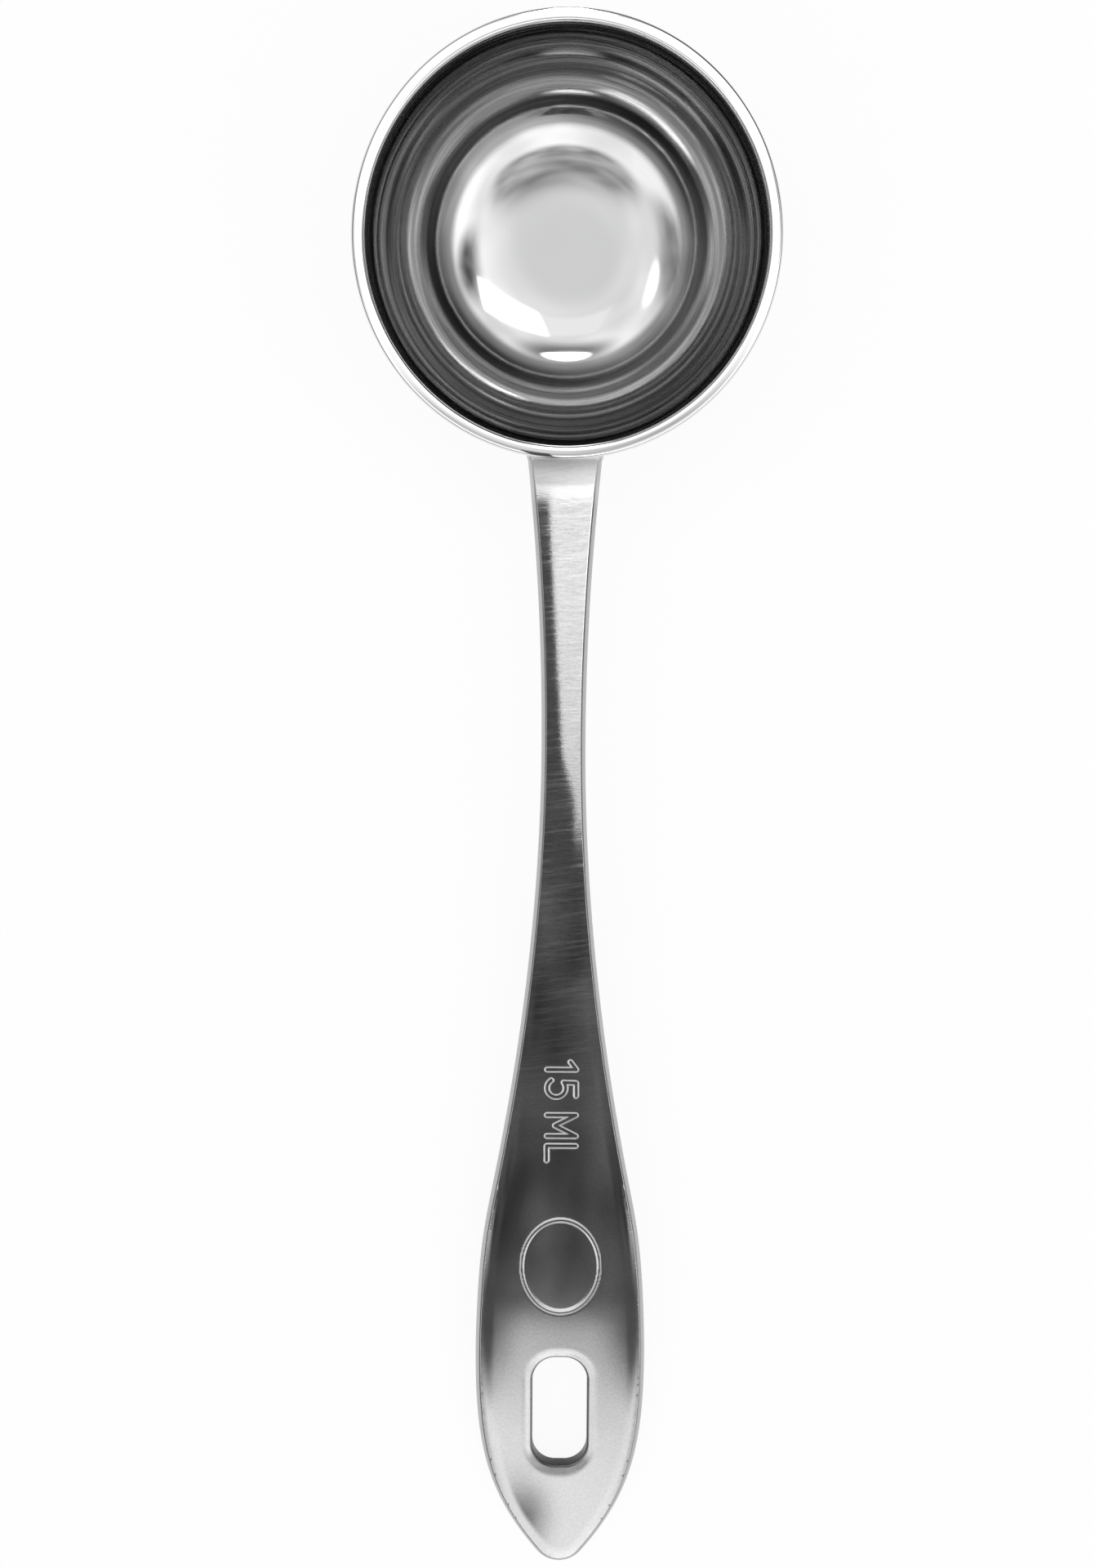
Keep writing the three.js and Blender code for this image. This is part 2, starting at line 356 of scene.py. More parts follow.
def on_spine(s, x, h):
    """Points of the arched handle. Near the root they follow the bowl's round wall."""
    at_wall = to_wall(np.minimum(np.abs(x), ROOT_HALF_WIDTH_MOST), h)
    s = s + at_wall * np.clip(1 - s / ROOT_REACH, 0, 1)
    slope = ROOT_RISE - s / ARCH_RADIUS
    y = -WALL_RADIUS - ARCH_RADIUS * (math.sin(ROOT_RISE) - np.sin(slope))
    z = ROOT_HEIGHT + ARCH_RADIUS * (np.cos(slope) - math.cos(ROOT_RISE))
    return np.stack(np.broadcast_arrays(x, y + h * np.sin(slope), z + h * np.cos(slope)), -1)


def half_outline():
    """The handle's right edge from root to tip as (s, half width), finely stepped."""
    neck = NECK_WIDTH / 2
    wide = PADDLE_WIDTH / 2
    shoulder_at = NECK_LENGTH + TAPER_LENGTH
    widest_at = shoulder_at + SHOULDER_LENGTH
    centre = HANDLE_LENGTH - TIP_RADIUS
    flank = (centre + TIP_RADIUS * math.sin(TIP_FLANK), TIP_RADIUS * math.cos(TIP_FLANK))
    ease = FLANK_PULL * OGIVE_LENGTH
    shoulder = (shoulder_at, SHOULDER_WIDTH / 2)
    taper = [(NECK_LENGTH, neck), (NECK_LENGTH + TAPER_PULL * TAPER_LENGTH, neck), shoulder]
    widening = [shoulder, (shoulder_at + SHOULDER_LENGTH / 2, wide), (widest_at, wide)]
    ogive = [
        (widest_at, wide), (widest_at + OGIVE_PULL * OGIVE_LENGTH, wide),
        (flank[0] - ease, flank[1] + ease * math.tan(TIP_FLANK)), flank,
    ]
    path = np.vstack([
        bezier([(0, ROOT_WIDTH / 2), (NECK_LENGTH / 2, neck), (NECK_LENGTH, neck)], CURVE_STEPS)[:-1],
        bezier(taper, CURVE_STEPS)[:-1],
        bezier(widening, SHOULDER_STEPS)[:-1],
        bezier(ogive, CURVE_STEPS)[:-1],
        arc((centre, 0), TIP_RADIUS, 90 - math.degrees(TIP_FLANK), 0, TIP_STEPS),
    ])

    # The corner at the shoulder is eased over a few millimetres
    even = np.arange(*EASE_WINDOW, EASE_STEP)
    away = np.arange(-EASE_STEPS, EASE_STEPS + 1) * EASE_STEP
    weight = np.exp(-0.5 * (away / SHOULDER_EASE) ** 2)
    eased = np.convolve(np.interp(even, *path.T), weight / weight.sum(), "same")
    s = path[:, 0]
    share = smoothstep(*EASE_IN, s) * (1 - smoothstep(*EASE_OUT, s))
    path[:, 1] += share * (np.interp(s, even, eased) - path[:, 1])
    return path


def inward_from(path):
    """Unit directions from the handle's right edge into its face."""
    along = np.gradient(path, axis=0)
    return np.c_[along[:, 1], -along[:, 0]] / np.linalg.norm(along, axis=1)[:, None]


def stations():
    """Places along the handle up to the slot: spans with their steps, finer where the marks are stamped."""
    spans = [
        (0.02, 1.0, 0.1), (1.0, MARK_SPAN[0], 0.5), (*MARK_SPAN, 0.08),
        (MARK_SPAN[1], OVAL_STARTS, 0.4), (OVAL_STARTS, SLOT_JOIN, 0.085),
    ]
    return np.hstack([np.arange(a, b, step) for a, b, step in spans] + [SLOT_JOIN])


def edge_points():
    """The right edge as points with inward directions: by station up to the slot, then by arc length."""
    path = half_outline()
    inward = inward_from(path)
    inward[-1] = (-1, 0)
    length = np.r_[0, np.cumsum(np.linalg.norm(np.diff(path, axis=0), axis=1))]
    at_stations = np.interp(stations(), path[:, 0], length)
    beyond = np.linspace(at_stations[-1], length[-1], TIP_POINTS)[1:]
    pick = np.r_[at_stations, beyond]
    sample = np.c_[[np.interp(pick, length, column) for column in (*path.T, *inward.T)]].T
    return sample[:, :2], sample[:, 2:], len(at_stations)


def text_strokes():
    """Centre lines of the capacity, reading along the handle with their tops to the right.

    Each glyph has its width and its strokes in unit height, and the gap that follows it.
    """
    sweep = np.radians(np.arange(128, -156, -12))
    round_of_five = np.c_[0.29 + 0.31 * np.cos(sweep), 0.32 + 0.32 * np.sin(sweep)]
    glyphs = [
        (0.26, [(0.0, 0.80), (0.26, 1.0), (0.26, 0.0)], 0.34),
        (0.60, [(0.56, 1.0), (0.12, 1.0), *round_of_five.tolist()], 0.62),
        (0.72, [(0.0, 0.0), (0.0, 1.0), (0.36, 0.28), (0.72, 1.0), (0.72, 0.0)], 0.34),
        (0.50, [(0.0, 1.0), (0.0, 0.0), (0.50, 0.0)], 0.0),
    ]
    unit = MARK_HEIGHT - STROKE
    lines = []
    pen = 0.0
    for width, stroke, gap in glyphs:
        lines.append([(MARK_AT + STROKE / 2 + unit * (pen + a), unit * (b - 0.5)) for a, b in stroke])
        pen += width + gap
    return lines


def stamp(s, x):
    """How far the marks are pressed in at points of the upper face: 0 beside them and 1 at their floor."""
    nearest = np.full(s.shape, FAR_AWAY)
    close = (s > MARK_SPAN[0]) & (s < MARK_SPAN[1]) & (np.abs(x) < MARK_HALF_WIDTH)
    p = np.c_[s[close], x[close]]
    best = np.full(len(p), FAR_AWAY)
    for line in text_strokes():
        for a, b in zip(np.array(line), np.array(line)[1:]):
            t = np.clip(((p - a) @ (b - a)) / ((b - a) @ (b - a)), 0, 1)
            best = np.minimum(best, np.linalg.norm(p - a - t[:, None] * (b - a), axis=1))
    nearest[close] = best - STROKE / 2
    ring = np.hypot((s - OVAL_AT) / OVAL_HALF[0], x / OVAL_HALF[1])
    nearest = np.minimum(nearest, np.abs(ring - 1) * min(OVAL_HALF) - OVAL_LINE / 2)
    return np.clip(-nearest / BEVEL, 0, 1)


def slot_gap(points):
    """Distance outside the slot's outline."""
    reach = np.array([SLOT_LENGTH / 2 - SLOT_CORNER, SLOT_WIDTH / 2 - SLOT_CORNER])
    p = np.abs(points - (SLOT_AT, 0)) - reach
    return np.linalg.norm(np.maximum(p, 0), axis=-1) + np.minimum(p.max(-1), 0) - SLOT_CORNER


def slot_level(direction, origin, level):
    """Where rays from the slot's middle line are a given distance outside the slot."""
    low = np.zeros(len(direction))
    high = np.full(len(direction), RAY_REACH)
    for _ in range(RAY_HALVINGS):
        middle = (low + high) / 2
        gap = slot_gap(origin + direction * middle[:, None])
        low = np.where(gap < level, middle, low)
        high = np.where(gap < level, high, middle)
    return origin + direction * low[:, None]


def edge_drop(s):
    """How far a face has eased down at the handle's edge: not at all on the neck, fully on the paddle."""
    return ROLL_DROP * smoothstep(*ROLL_GROWS, s)


def roll(points, slot_drop):
    """How far a face eases down towards the handle's edge and the slot."""
    path = half_outline()
    inner = path + inward_from(path) * EDGE_WIDTH
    tree = kdtree.KDTree(2 * len(inner))
    for number, (s, x) in enumerate(inner):
        tree.insert((s, x, 0), 2 * number)
        tree.insert((s, -x, 0), 2 * number + 1)
    tree.balance()
    reach = [tree.find((s, x, 0))[2] for s, x in points.reshape(-1, 2)]
    near_edge = np.clip(1 - np.array(reach).reshape(points.shape[:-1]) / ROLL_WIDTH, 0, 1)
    near_slot = np.clip(1 - (slot_gap(points) - SLOT_EDGE) / SLOT_ROLL, 0, 1)
    return edge_drop(points[..., 0]) * near_edge**2 + slot_drop * near_slot**2


def edge_round(width, depth, shape, drop):
    """Insets and heights that ease an edge over from a face to the edge's middle, for each point's drop."""
    a = np.linspace(0, math.pi / 2, EDGE_STEPS + 1)
    inset = width * (1 - np.sin(a) ** (2 / shape))
    height = THICKNESS / 2 - drop - depth * (1 - np.cos(a)[:, None] ** (2 / shape))
    return inset, height


def make_handle():
    edge, inward, rows = edge_points()
    flat = edge + inward * EDGE_WIDTH
    flat[-1, 1] = 0
    across = np.linspace(-1, 1, ACROSS_POINTS)
    grid = np.stack([np.repeat(flat[:rows, :1], len(across), 1), flat[:rows, 1:] * across], -1)

    # Ring of points round the slot: half of the joining row, the right edge, the left edge, the other half
    mirror = np.array([1, -1])
    half = len(across) // 2
    outer = np.vstack([grid[-1, half:], flat[rows:], (flat[rows:-1] * mirror)[::-1], grid[-1, : half + 1]])
    reach = SLOT_LENGTH / 2 - SLOT_WIDTH / 2
    spot = np.c_[np.clip(outer[:, 0], SLOT_AT - reach, SLOT_AT + reach), 0 * outer[:, 0]]
    ray = (outer - spot) / np.linalg.norm(outer - spot, axis=1)[:, None]
    inner = slot_level(ray, spot, SLOT_EDGE)
    blend = np.linspace(0, 1, SLOT_RINGS)[:, None, None]
    around = inner * (1 - blend) + outer * blend

    # The upper and the lower face
    skin = Skin()
    for side, slot_drop in ((1, SLOT_DROP), (-1, SLOT_DROP_BELOW)):
        press = stamp(grid[..., 0], grid[..., 1]) if side > 0 else 0 * grid[..., 0]
        top = side * (THICKNESS / 2 - roll(grid, slot_drop) - MARK_DEPTH * press)
        # The pressed marks' bevels: rougher burrs that the material also paints paler as a highlight
        burr_and_glint = 4 * press * (1 - press)
        skin.grid(on_spine(grid[..., 0], grid[..., 1], top), flip=side < 0, mark=burr_and_glint)
        around_top = side * (THICKNESS / 2 - roll(around, slot_drop))
        skin.grid(on_spine(around[..., 0], around[..., 1], around_top), flip=side > 0)

    # The rounded edges
    insets, heights = edge_round(EDGE_WIDTH, EDGE_HEIGHT, EDGE_SHAPE, edge_drop(flat[:, 0]))
    insets, heights = np.r_[insets, insets[::-1]], np.vstack([heights, -heights[::-1]])
    for side in (1, -1):
        rim = edge[None] + inward[None] * insets[:, None, None]
        rim[:, -1, 1] = 0
        skin.grid(on_spine(rim[..., 0], side * rim[..., 1], heights), flip=side < 0)

    # The slot's wall, painted dark below its lip as painted shade
    level = 0 * ray[:, 0]
    insets, above = edge_round(SLOT_EDGE, SLOT_ROUND, SLOT_SHAPE, SLOT_DROP + level)
    _, below = edge_round(SLOT_EDGE, SLOT_ROUND_BELOW, SLOT_SHAPE, SLOT_DROP_BELOW + level)
    heights = np.vstack([above, -below[::-1]])
    wall = np.stack([slot_level(ray, spot, inset) for inset in np.r_[insets, insets[::-1]]])
    slot_shade = smoothstep(*SLOT_WALL_SHADE, heights) - 1
    skin.grid(on_spine(wall[..., 0], wall[..., 1], heights), mark=slot_shade)
    return skin.build("handle_blade")


def make_weld():
    """A hollow fillet all round the root, from the bowl's wall to the handle's faces."""
    corner = np.radians(np.linspace(0, 90, WELD_CORNER_POINTS))
    reach = np.array([ROOT_WIDTH / 2 - EDGE_RADIUS, THICKNESS / 2 - EDGE_RADIUS])
    rings = []
    for bend in np.radians(np.linspace(0, 90, WELD_RINGS)):
        radius = EDGE_RADIUS + WELD_RADIUS * (1 - math.sin(bend)) - WELD_SINK
        off = WELD_RADIUS * (1 - math.cos(bend))
        ring = []
        for quarter, sign in enumerate([(1, 1), (-1, 1), (-1, -1), (1, -1)]):
            angle = corner + quarter * math.pi / 2
            ring.append(np.c_[np.cos(angle), np.sin(angle)] * radius + reach * sign)
        x, h = np.vstack(ring).T
        s = to_wall(x, h) + off
        y = -WALL_RADIUS - s * math.cos(ROOT_RISE) + h * math.sin(ROOT_RISE)
        z = ROOT_HEIGHT + s * math.sin(ROOT_RISE) + h * math.cos(ROOT_RISE)
        rings.append(np.c_[x, y, z])
    skin = Skin()
    skin.grid(np.array(rings), wrap=True)
    return skin.build("weld_bead")


def new_node(tree, kind, sockets=None, **properties):
    """A shader node with its properties and the numbers on its sockets."""
    node = tree.nodes.new("ShaderNode" + kind)
    for name, value in properties.items():
        setattr(node, name, value)
    for name, value in (sockets or {}).items():
        node.inputs[name].default_value = value
    return node


def join(tree, *pairs):
    for source, target in pairs:
        tree.links.new(source, target)


def grey_ramp(tree, stops, blue=1.0):
    node = new_node(tree, "ValToRGB")
    elements = node.color_ramp.elements
    while len(elements) < len(stops):
        elements.new(0.5)
    for element, (position, grey) in zip(elements, stops):
        element.position = position
        element.color = (grey, grey, grey * blue, 1)
    return node


class Steel:
    """A polished steel material whose texture space is the bowl's own frame."""

    def __init__(self, name):
        self.material = bpy.data.materials.new(name)
        self.material.use_nodes = True
        self.tree = self.material.node_tree
        self.shader = self.tree.nodes["Principled BSDF"]
        self.give("Metallic", 1.0)
        coords = new_node(self.tree, "TexCoord")
        self.facing = coords.outputs["Normal"]
        upright = new_node(self.tree, "Mapping", vector_type="TEXTURE")
        upright.inputs["Location"].default_value = base_centre
        upright.inputs["Rotation"].default_value = (tilt, 0, 0)
        join(self.tree, (coords.outputs["Object"], upright.inputs["Vector"]))
        self.place = upright.outputs[0]

    def feed(self, socket, value):
        """Sets a number on a socket, or links another node's output to it."""
        if isinstance(value, (int, float)):
            socket.default_value = value
        else:
            join(self.tree, (value, socket))

    def give(self, name, value):
        self.feed(self.shader.inputs[name], value)

    def split(self, vector):
        node = new_node(self.tree, "SeparateXYZ")
        self.feed(node.inputs[0], vector)
        return node.outputs

    def math(self, operation, *values):
        node = new_node(self.tree, "Math", operation=operation)
        for socket, value in zip(node.inputs, values):
            self.feed(socket, value)
        return node.outputs[0]

    def times(self, a, b):
        return self.math("MULTIPLY", a, b)

    def total(self, first, *others):
        for other in others:
            first = self.math("ADD", first, other)
        return first

    def noise(self, vector, scale, detail=3.0, roughness=0.5):
        node = new_node(self.tree, "TexNoise", {"Scale": scale, "Detail": detail, "Roughness": roughness})
        self.feed(node.inputs["Vector"], vector)
        return node.outputs["Fac"]

    def mark(self):
        return new_node(self.tree, "Attribute", attribute_name="mark").outputs["Fac"]

    def stretch(self, shrink, slant=0.0):
        """The texture space with its features drawn out across the handle."""
        node = new_node(self.tree, "Mapping", vector_type="TEXTURE")
        node.inputs["Rotation"].default_value = (0, 0, slant)
        node.inputs["Scale"].default_value = (1 / shrink, 1, 1)
        self.feed(node.inputs["Vector"], self.place)
        return node.outputs[0]

    def turned(self, twist):
        """Radius, height and a little of the angle about the bowl's axis, so that lines run round it."""
        x, y, z = self.split(self.place)
        flat = new_node(self.tree, "CombineXYZ")
        radius = new_node(self.tree, "VectorMath", operation="LENGTH")
        side = new_node(self.tree, "VectorMath", operation="NORMALIZE")
        out = new_node(self.tree, "CombineXYZ")
        join(
            self.tree,
            (x, flat.inputs["X"]),
            (y, flat.inputs["Y"]),
            (flat.outputs[0], radius.inputs[0]),
            (flat.outputs[0], side.inputs[0]),
        )
        turn_x, turn_y, _ = self.split(side.outputs[0])
        join(
            self.tree,
            (radius.outputs["Value"], out.inputs["X"]),
            (self.total(z, self.times(turn_y, twist)), out.inputs["Y"]),
            (self.times(turn_x, twist), out.inputs["Z"]),
        )
        return out.outputs[0]

    def ramp(self, factor, stops):
        node = grey_ramp(self.tree, stops, COOL_TINT)
        self.feed(node.inputs["Fac"], factor)
        return node.outputs["Color"]

    def span(self, value, source, target=(0.0, 1.0)):
        """A smooth step from the first target to the second while the value runs through the source."""
        ends = {"From Min": source[0], "From Max": source[1], "To Min": target[0], "To Max": target[1]}
        node = new_node(self.tree, "MapRange", ends, interpolation_type="SMOOTHSTEP")
        self.feed(node.inputs["Value"], value)
        return node.outputs["Result"]

    def relief(self, height, strength):
        node = new_node(self.tree, "Bump", {"Distance": RELIEF_DEPTH})
        self.feed(node.inputs["Strength"], strength)
        self.feed(node.inputs["Height"], height)
        self.give("Normal", node.outputs["Normal"])


def bowl_finish():
    """Drawn and buffed: rings of polish up the wall, faint clouds in the gloss, a rim painted paler as a
    highlight, and a base left bright beside an upper inner wall painted darker as shade.
    """
    steel = Steel("bowl_polish")
    turned = steel.turned(RING_TWIST)
    rings = steel.noise(turned, RING_SCALE, 7.0, 0.72)
    cloud = steel.noise(steel.place, CLOUD_SCALE)
    radius, height, _ = steel.split(turned)
    within = steel.span(steel.mark(), (0.0, 1.0))
    on_wall = steel.span(radius, WALL_STARTS)

    # The rim is painted paler: a painted highlight that makes it read white
    rim = steel.span(height, RIM_HIGHLIGHT_STARTS, (0.0, 0.46))
    # The inner wall above the base is painted darker: painted shade that deepens the dark band under the rim
    wall_shade = steel.span(height, WALL_SHADE_GROWS, (0.0, 0.34))
    lines = steel.times(steel.span(rings, (0.43, 0.57), (-0.14, 0.16)), on_wall)
    wall = steel.times(steel.math("SUBTRACT", lines, wall_shade), within)
    tone = steel.total(wall, 0.48, rim)
    scratched = steel.times(within, steel.span(height, SCRATCHES_START))
    scratches = steel.times(scratched, steel.span(rings, (0.47, 0.60), (0.04, 0.42)))

    steel.give("Base Color", steel.ramp(tone, [(0.0, 0.2), (1.0, 0.9)]))
    steel.give("Metallic", steel.math("SUBTRACT", 1.0, scratches))
    steel.give("Roughness", steel.span(cloud, NOISE_RANGE, (0.045, 0.075)))
    steel.relief(steel.times(rings, on_wall), 0.25)
    return steel.material


def handle_finish():
    """Brushed across at the neck and satin on the paddle. Painted highlight on the marks' burrs, painted
    light on the ground root, painted shade in the slot.
    """
    steel = Steel("handle_polish")
    steel.give("Anisotropic", 0.85)
    steel.give("Tangent", new_node(steel.tree, "CombineXYZ", {"Y": 1.0}).outputs[0])
    strokes = steel.noise(steel.stretch(0.14), STROKE_SCALE, 3.0, 0.65)
    slant = steel.noise(steel.stretch(0.05, SCUFF_SLANT), SCUFF_SCALE, 4.0, 0.7)
    grain = steel.noise(steel.stretch(0.8), GRAIN_SCALE, 3.0, 0.6)
    cloud = steel.noise(steel.place, CLOUD_SCALE)
    y = steel.split(steel.place)[1]
    level = steel.math("ABSOLUTE", steel.split(steel.facing)[2])
    flat = steel.span(level, FACE_LEVEL)
    neck = steel.times(steel.span(y, NECK_STARTS, (0.02, 1.0)), flat)
    # The root is ground rougher, and painted paler as painted light that lifts the dark band at the root
    ground_and_painted_light = steel.span(y, GROUND_AND_PAINTED_LIGHT_STARTS)
    scuffs = steel.times(steel.span(slant, (0.45, 0.72)), neck)
    brushed = steel.times(steel.span(strokes, NOISE_RANGE, (-0.07, 0.07)), neck)

    # The mark runs up to 1 on the burrs, which get a painted highlight, and down to -1 in the slot, which
    # gets painted shade
    mark = steel.mark()
    burr_and_glint = steel.span(mark, (0.0, 1.0))
    unshaded_face = steel.span(mark, (-1.0, 0.0))
    tone = steel.total(
        brushed,
        steel.span(grain, NOISE_RANGE, (0.32, 0.40)),
        # Paler bevels of the pressed marks: a painted highlight
        steel.times(burr_and_glint, 0.5),
        steel.times(scuffs, 0.12),
        steel.times(ground_and_painted_light, 0.6),
    )
    roughness = steel.total(
        steel.span(cloud, NOISE_RANGE, (0.10, 0.135)),
        steel.times(scuffs, 0.10),
        steel.times(burr_and_glint, 0.28),
        steel.times(ground_and_painted_light, 0.48),
        steel.span(level, EDGE_LEVEL, (0.12, 0.0)),
    )
    height = steel.total(steel.times(strokes, neck), steel.times(grain, 0.25))

    # The slot's wall is painted near black: painted shade
    shade = steel.times(tone, unshaded_face)
    steel.give("Base Color", steel.ramp(shade, [(0.0, 0.04), (0.3, 0.46), (1.0, 0.92)]))
    steel.give("Metallic", steel.math("SUBTRACT", 1.0, steel.times(burr_and_glint, 0.4)))
    steel.give("Roughness", roughness)
    steel.relief(height, steel.times(flat, 0.4))
    return steel.material


def weld_finish():
    """Ground weld metal, more matt than the pieces that it joins, and paler partly as painted light that
    lifts the dark band at the root.
    """
    steel = Steel("weld_polish")
    marks = steel.noise(steel.place, WELD_SCALE, 4.0)
    # Paler colour: partly the ground weld metal, partly painted light at the root
    steel.give("Base Color", steel.ramp(marks, [(0.3, 0.70), (0.7, 0.80)]))
    steel.give("Roughness", steel.span(marks, NOISE_RANGE, (0.42, 0.52)))
    steel.relief(marks, 0.2)
    return steel.material


bowl = make_bowl()
handle = make_handle()
weld = make_weld()
bowl.data.materials.append(bowl_finish())
handle.data.materials.append(handle_finish())
weld.data.materials.append(weld_finish())
for piece, node, slot in ((bowl, "bowl", "bowl_steel"), (handle, "handle", "handle_steel"),
                          (weld, "weld_fillet", "weld_steel")):
    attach(piece, "root")
    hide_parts(node)


def make_camera():
    camera = bpy.data.objects.new("camera", bpy.data.cameras.new("camera"))
    bpy.context.scene.collection.objects.link(camera)
    camera.location = CAMERA_AT
    camera.rotation_euler = [math.radians(a) for a in CAMERA_TURN]
    camera.data.lens = CAMERA_LENS
    camera.data.sensor_width = CAMERA_SENSOR
    camera.data.clip_start = CAMERA_CLIP
    bpy.context.scene.camera = camera


def stage_piece(name, corners):
    """A flat piece of the stage about its own middle, and the empty node tree of its material."""
    corners = [Vector(c) for c in corners]
    centre = sum(corners, Vector()) / len(corners)
    mesh = bpy.data.meshes.new(name)
    mesh.from_pydata([c - centre for c in corners], [], [tuple(range(len(corners)))])
    piece = bpy.data.objects.new(name, mesh)
    piece.location = centre
    bpy.context.scene.collection.objects.link(piece)
    material = bpy.data.materials.new(name)
    material.use_nodes = True
    material.node_tree.nodes.clear()
    mesh.materials.append(material)
    return piece, material.node_tree


def white_share(tree):
    """How much of the floor is plain white, by the kind of ray that sees it."""
    path = new_node(tree, "LightPath")
    total = None
    for ray, share in FLOOR_WHITE.items():
        part = new_node(tree, "Math", {1: share, 2: 0.0}, operation="MULTIPLY_ADD")
        join(tree, (path.outputs[ray], part.inputs[0]))
        if total:
            join(tree, (total, part.inputs[2]))
        total = part.outputs[0]
    return total


def make_floor():
    a = FLOOR_HALF
    floor, tree = stage_piece("floor", [(-a, -a, 0), (a, -a, 0), (a, a, 0), (-a, a, 0)])
    paper = new_node(tree, "BsdfDiffuse", {"Color": FLOOR_COLOUR})
    glow = new_node(tree, "Emission", {"Strength": 1.0})
    mix = new_node(tree, "MixShader")
    out = new_node(tree, "OutputMaterial")
    join(
        tree,
        (white_share(tree), mix.inputs["Fac"]),
        (paper.outputs[0], mix.inputs[1]),
        (glow.outputs[0], mix.inputs[2]),
        (mix.outputs[0], out.inputs["Surface"]),
    )


def from_edges(tree, place, oval):
    """How far in a point of a card lies: from its oval outline, or from its sides along X and along Y."""
    if oval:
        unit = new_node(tree, "Mapping", {"Location": (-1, -1, 0), "Scale": (2, 2, 0)})
        away = new_node(tree, "TexGradient", gradient_type="SPHERICAL")
        join(tree, (place, unit.inputs["Vector"]), (unit.outputs[0], away.inputs["Vector"]))
        return [away.outputs["Fac"]]
    sides = new_node(tree, "SeparateXYZ")
    join(tree, (place, sides.inputs[0]))
    distances = []
    for axis in ("X", "Y"):
        away = new_node(tree, "Math", {1: 0.5}, operation="PINGPONG")
        join(tree, (sides.outputs[axis], away.inputs[0]))
        distances.append(away.outputs[0])
    return distances


def make_card(name, corners, strength, soft=0.0, oval=False, patchy=0.0):
    """A plain card over the table that shows only in reflections.

    Its edges are hard, or fade over a share of its size, or it is a soft oval. A patchy card runs in clouds
    from its strength to the patchy one.
    """
    card, tree = stage_piece(name, [Vector(c) * MM for c in corners])
    place = new_node(tree, "TexCoord").outputs["Generated"]
    glow = new_node(tree, "Emission", {"Strength": strength})
    if patchy:
        cloud = new_node(tree, "TexNoise", CARD_CLOUD)
        ends = {"From Min": NOISE_RANGE[0], "From Max": NOISE_RANGE[1], "To Min": strength, "To Max": patchy}
        level = new_node(tree, "MapRange", ends)
        join(
            tree,
            (place, cloud.inputs["Vector"]),
            (cloud.outputs["Fac"], level.inputs["Value"]),
            (level.outputs["Result"], glow.inputs["Strength"]),
        )
    surface = glow.outputs[0]
    for away in from_edges(tree, place, oval) if soft else []:
        fade = new_node(tree, "MapRange", {"From Max": soft}, interpolation_type="SMOOTHSTEP")
        clear = new_node(tree, "BsdfTransparent")
        mix = new_node(tree, "MixShader")
        join(
            tree,
            (away, fade.inputs["Value"]),
            (fade.outputs["Result"], mix.inputs["Fac"]),
            (clear.outputs[0], mix.inputs[1]),
            (surface, mix.inputs[2]),
        )
        surface = mix.outputs[0]
    join(tree, (surface, new_node(tree, "OutputMaterial").inputs["Surface"]))
    card.visible_camera = False
    card.visible_diffuse = False
    card.visible_shadow = False


def flat_card(name, centre, size, strength, soft, oval=False, patchy=0.0):
    """A level card with its centre and size in millimetres."""
    x, y, z = centre
    a, b = size[0] / 2, size[1] / 2
    corners = [(x - a, y - b, z), (x + a, y - b, z), (x + a, y + b, z), (x - a, y + b, z)]
    make_card(name, corners, strength, soft, oval, patchy)


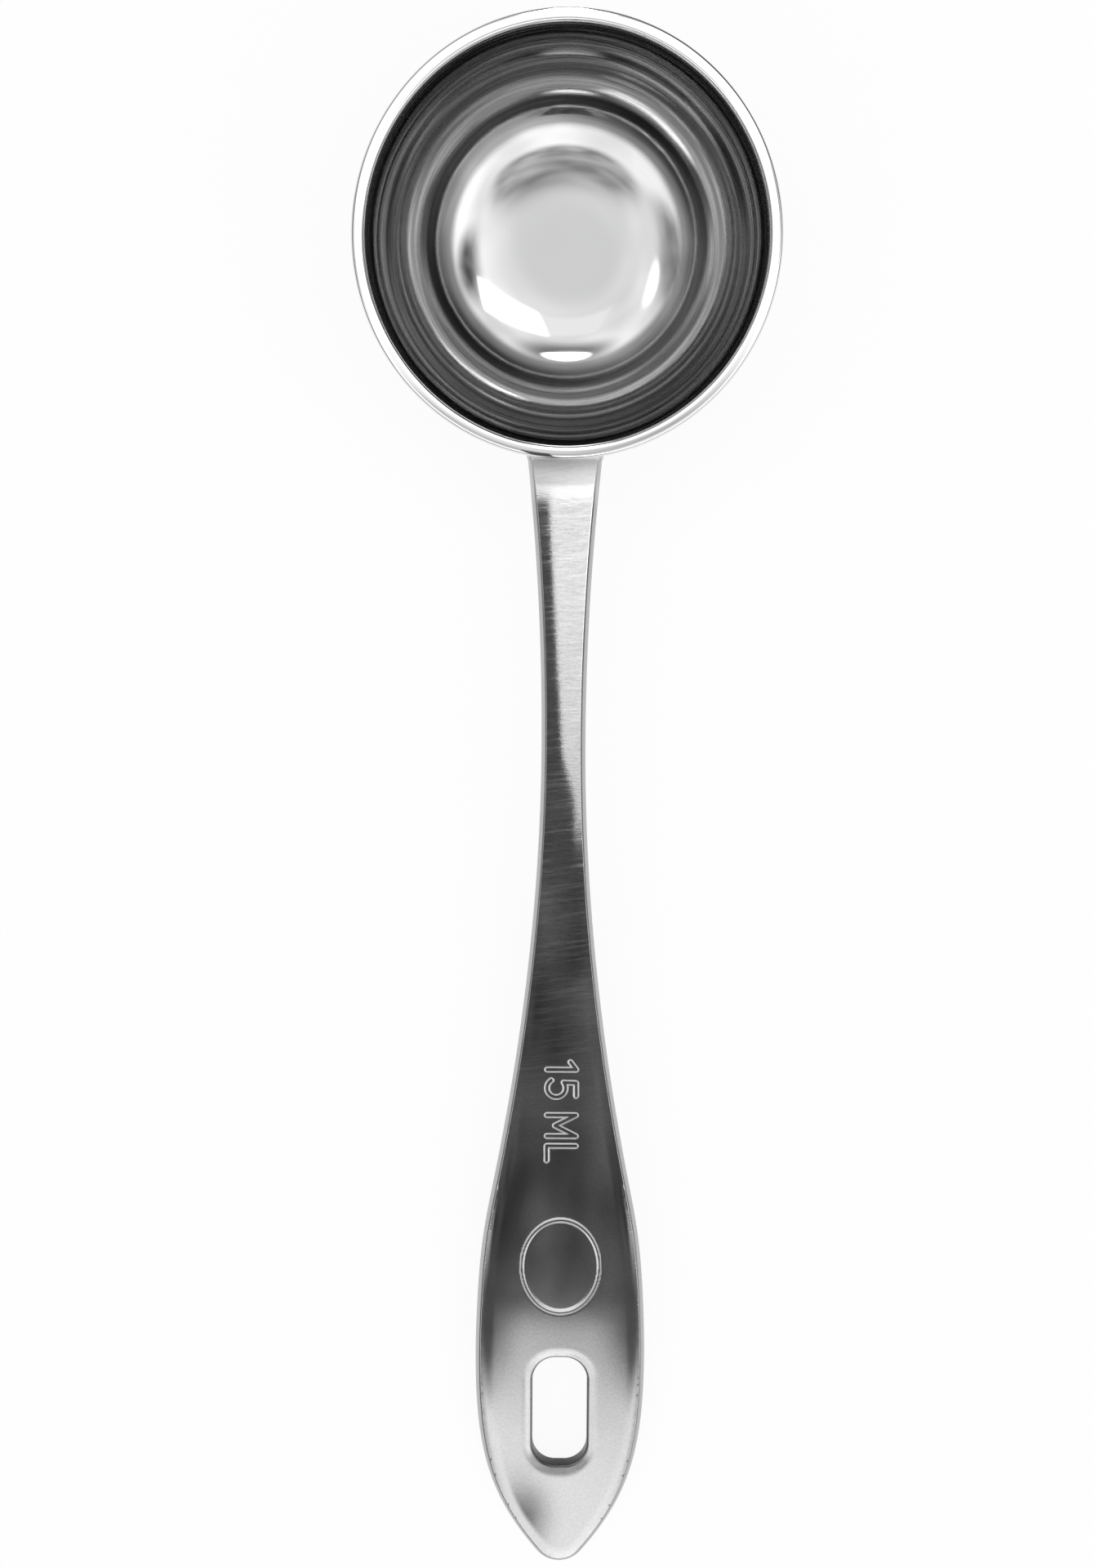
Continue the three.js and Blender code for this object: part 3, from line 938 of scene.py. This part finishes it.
def make_world():
    """A soft uneven dome that leans with the bowl: bright overhead, paler low down at two opposite corners.

    The camera itself sees plain white.
    """
    world = bpy.data.worlds.new("studio")
    bpy.context.scene.world = world
    world.use_nodes = True
    tree = world.node_tree
    sky = tree.nodes["Background"]
    place = new_node(tree, "TexCoord").outputs["Generated"]
    axis = (0, -math.sin(tilt), math.cos(tilt))
    lean = new_node(tree, "VectorMath", {1: axis}, operation="DOT_PRODUCT")
    ramp = grey_ramp(tree, DOME_STOPS)
    ramp.color_ramp.interpolation = "EASE"
    across = new_node(tree, "VectorMath", {1: DOME_CORNERS}, operation="DOT_PRODUCT")
    paler = new_node(tree, "Math", operation="MULTIPLY")
    share = new_node(tree, "Math", {1: DOME_CORNER_GREY}, operation="MULTIPLY_ADD")
    cloud = new_node(tree, "TexNoise", DOME_CLOUD)
    level = new_node(tree, "MapRange", DOME_LEVEL)
    white = new_node(tree, "Background", {"Color": (1, 1, 1, 1)})
    mix = new_node(tree, "MixShader")
    join(
        tree,
        (place, lean.inputs[0]),
        (lean.outputs["Value"], ramp.inputs["Fac"]),
        (place, across.inputs[0]),
        (across.outputs["Value"], paler.inputs[0]),
        (across.outputs["Value"], paler.inputs[1]),
        (paler.outputs[0], share.inputs[0]),
        (ramp.outputs["Color"], share.inputs[2]),
        (share.outputs[0], sky.inputs["Color"]),
        (place, cloud.inputs["Vector"]),
        (cloud.outputs["Fac"], level.inputs["Value"]),
        (level.outputs["Result"], sky.inputs["Strength"]),
        (new_node(tree, "LightPath").outputs["Is Camera Ray"], mix.inputs["Fac"]),
        (sky.outputs[0], mix.inputs[1]),
        (white.outputs[0], mix.inputs[2]),
        (mix.outputs[0], tree.nodes["World Output"].inputs["Surface"]),
    )


make_camera()
make_floor()
make_world()

# Cards that the bowl and the handle mirror. A lower card hides a higher one
flat_card("camera_shade", (8, -84, 179), (230, 180), 0.4, 0.4, oval=True, patchy=0.9)
flat_card("ceiling_panel", (102, 72, 300), (155, 84), 5.0, 0.06)
flat_card("ceiling_fill", (-12, 72, 301), (96, 84), 1.5, 0.2)
flat_card("far_shade", (0, 190, 298), (280, 150), 0.3, 0.75, oval=True)
flat_card("right_shade", (134, 34, 181), (130, 140), 0.1, 0.8, oval=True, patchy=0.4)
flat_card("left_shade", (-165, 20, 181), (180, 240), 0.35, 0.7, oval=True, patchy=0.6)
flat_card("left_window", (-92, 50, 175), (44, 70), 2.4, 0.5, oval=True)
flat_card("handle_shade", (0, -30.5, 25), (27, 60), 0.03, 0.075, patchy=0.16)
flat_card("paddle_shade_right", (11, -58, 24), (16, 26), 0.1, 0.65, oval=True)
flat_card("paddle_shade_left", (-11, -58, 24), (16, 26), 0.1, 0.65, oval=True)
make_card("neck_shade", NECK_SHADE, 0.08)
flat_card("side_shade_left", (-28, -92, 35), (26, 84), 0.3, 0.3)
flat_card("side_shade_right", (28, -92, 35), (24, 84), 0.3, 0.3)
flat_card("tip_shade", (-4, -83, 24.5), (10, 13), 0.3, 0.9, oval=True)
flat_card("top_lamp", (0, 203, 290), (116, 56), 10.0, 0.5, oval=True)
bpy.context.scene.view_settings.view_transform = "Standard"
